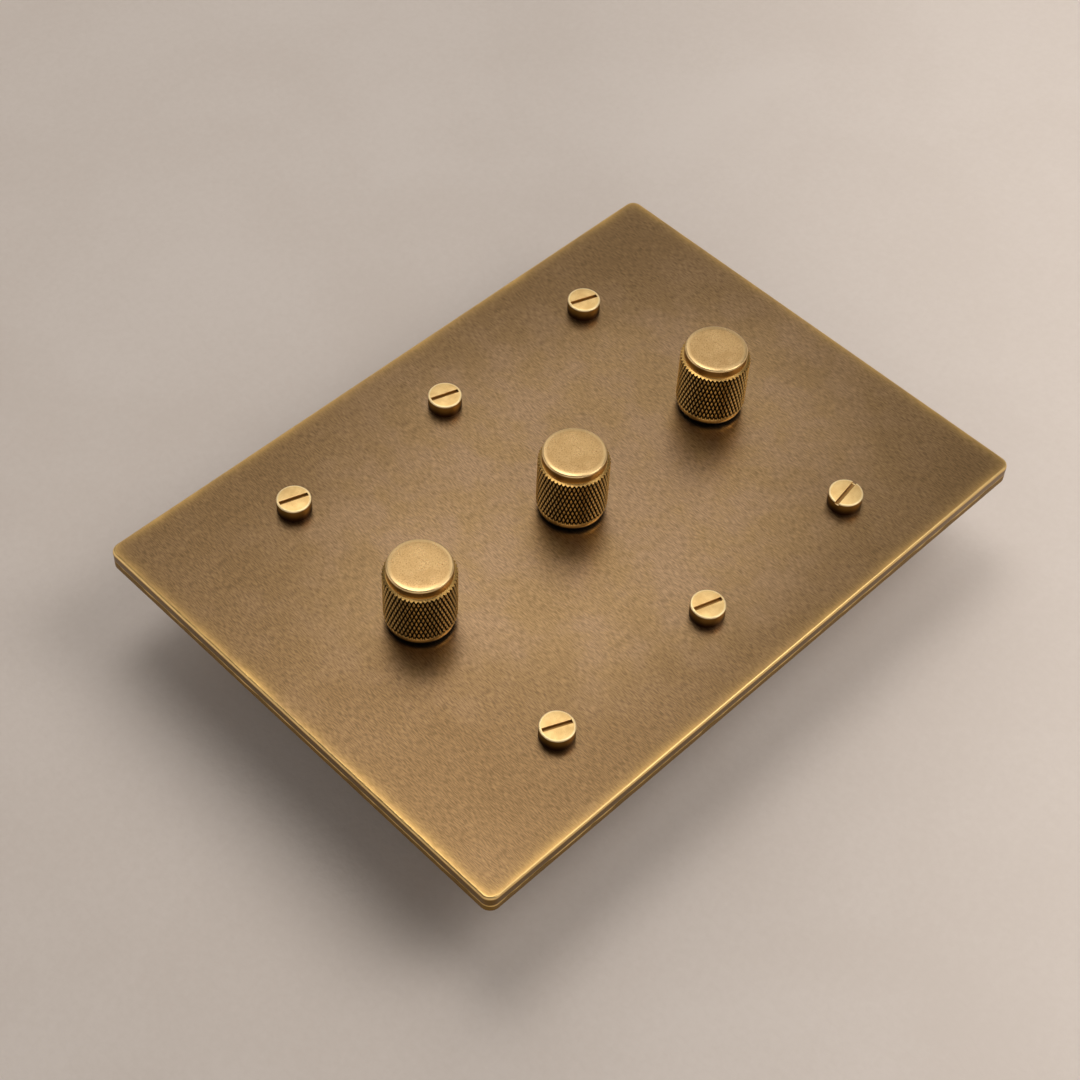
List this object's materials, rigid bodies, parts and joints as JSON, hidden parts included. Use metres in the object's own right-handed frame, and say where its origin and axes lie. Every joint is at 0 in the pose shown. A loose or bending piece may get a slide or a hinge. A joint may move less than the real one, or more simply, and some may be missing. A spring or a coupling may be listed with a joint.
{
  "type": "rotary dimmer switch",
  "caption": "Aged brass wall plate with a row of diamond-knurled knobs that turn to dim and push to switch, slotted fixing screws above and below, and dimmer modules behind.",
  "frame": {"origin": "centre of the plate on the wall plane, which is the back of the frame behind the plate", "axes": "+X along the row of knobs, +Y up the wall, +Z out of the wall towards the user"},
  "size_m": [0.167, 0.1216, 0.048],
  "materials": {
    "aged_brass": "satin, patinated",
    "dark_bronze": "satin",
    "screw_brass": "satin",
    "knob_brass": "satin",
    "steel": "bright",
    "spring_steel": "bright",
    "plated_brass": "nickel plated",
    "black_moulding": "matt",
    "cream_moulding": "matt",
    "aluminium": "mill",
    "board": "satin",
    "component_black": "matt",
    "copper_winding": "enamelled wire",
    "capacitor_yellow": "gloss",
    "terminal_grey": "satin"
  },
  "bodies": {
    "switch": {"front_plate": "aged_brass", "rear_frame": "dark_bronze", "plate_screws": "screw_brass", "left_bushing": "plated_brass", "left_bushing_nut": "plated_brass", "left_pot_case": "black_moulding", "left_return_spring": "spring_steel", "left_heat_sink": "aluminium", "left_housing": "black_moulding", "left_circuit_board": "board", "left_triac": "component_black", "left_choke": "copper_winding", "left_capacitor": "capacitor_yellow", "left_terminal_block": "terminal_grey", "middle_bushing": "plated_brass", "middle_bushing_nut": "plated_brass", "middle_pot_case": "black_moulding", "middle_return_spring": "spring_steel", "middle_heat_sink": "aluminium", "middle_housing": "black_moulding", "middle_circuit_board": "board", "middle_triac": "component_black", "middle_choke": "copper_winding", "middle_capacitor": "capacitor_yellow", "middle_terminal_block": "terminal_grey", "right_bushing": "plated_brass", "right_bushing_nut": "plated_brass", "right_pot_case": "black_moulding", "right_return_spring": "spring_steel", "right_heat_sink": "aluminium", "right_housing": "black_moulding", "right_circuit_board": "board", "right_triac": "component_black", "right_choke": "copper_winding", "right_capacitor": "capacitor_yellow", "right_terminal_block": "terminal_grey"},
    "left_plunger": {"left_push_carriage": "cream_moulding"},
    "left_knob_body": {"left_knob": "knob_brass", "left_shaft": "steel", "left_wiper_rotor": "cream_moulding"},
    "middle_plunger": {"middle_push_carriage": "cream_moulding"},
    "middle_knob_body": {"middle_knob": "knob_brass", "middle_shaft": "steel", "middle_wiper_rotor": "cream_moulding"},
    "right_plunger": {"right_push_carriage": "cream_moulding"},
    "right_knob_body": {"right_knob": "knob_brass", "right_shaft": "steel", "right_wiper_rotor": "cream_moulding"}
  },
  "joints": [
    {"name": "left_push", "type": "slide", "parent": "switch", "child": "left_plunger", "axis": [0, 0, -1], "range_m": [0, 0.0005], "stiffness_N_per_m": 1500, "springref_m": -0.002, "deforming": ["left_return_spring"]},
    {"name": "left_turn", "type": "hinge", "parent": "left_plunger", "child": "left_knob_body", "pos_m": [-0.04604, 0, 0], "axis": [0, 0, -1], "range_deg": [0, 280]},
    {"name": "middle_push", "type": "slide", "parent": "switch", "child": "middle_plunger", "axis": [0, 0, -1], "range_m": [0, 0.0005], "stiffness_N_per_m": 1500, "springref_m": -0.002, "deforming": ["middle_return_spring"]},
    {"name": "middle_turn", "type": "hinge", "parent": "middle_plunger", "child": "middle_knob_body", "pos_m": [0, 0, 0], "axis": [0, 0, -1], "range_deg": [0, 280]},
    {"name": "right_push", "type": "slide", "parent": "switch", "child": "right_plunger", "axis": [0, 0, -1], "range_m": [0, 0.0005], "stiffness_N_per_m": 1500, "springref_m": -0.002, "deforming": ["right_return_spring"]},
    {"name": "right_turn", "type": "hinge", "parent": "right_plunger", "child": "right_knob_body", "pos_m": [0.04604, 0, 0], "axis": [0, 0, -1], "range_deg": [0, 280]}
  ]
}
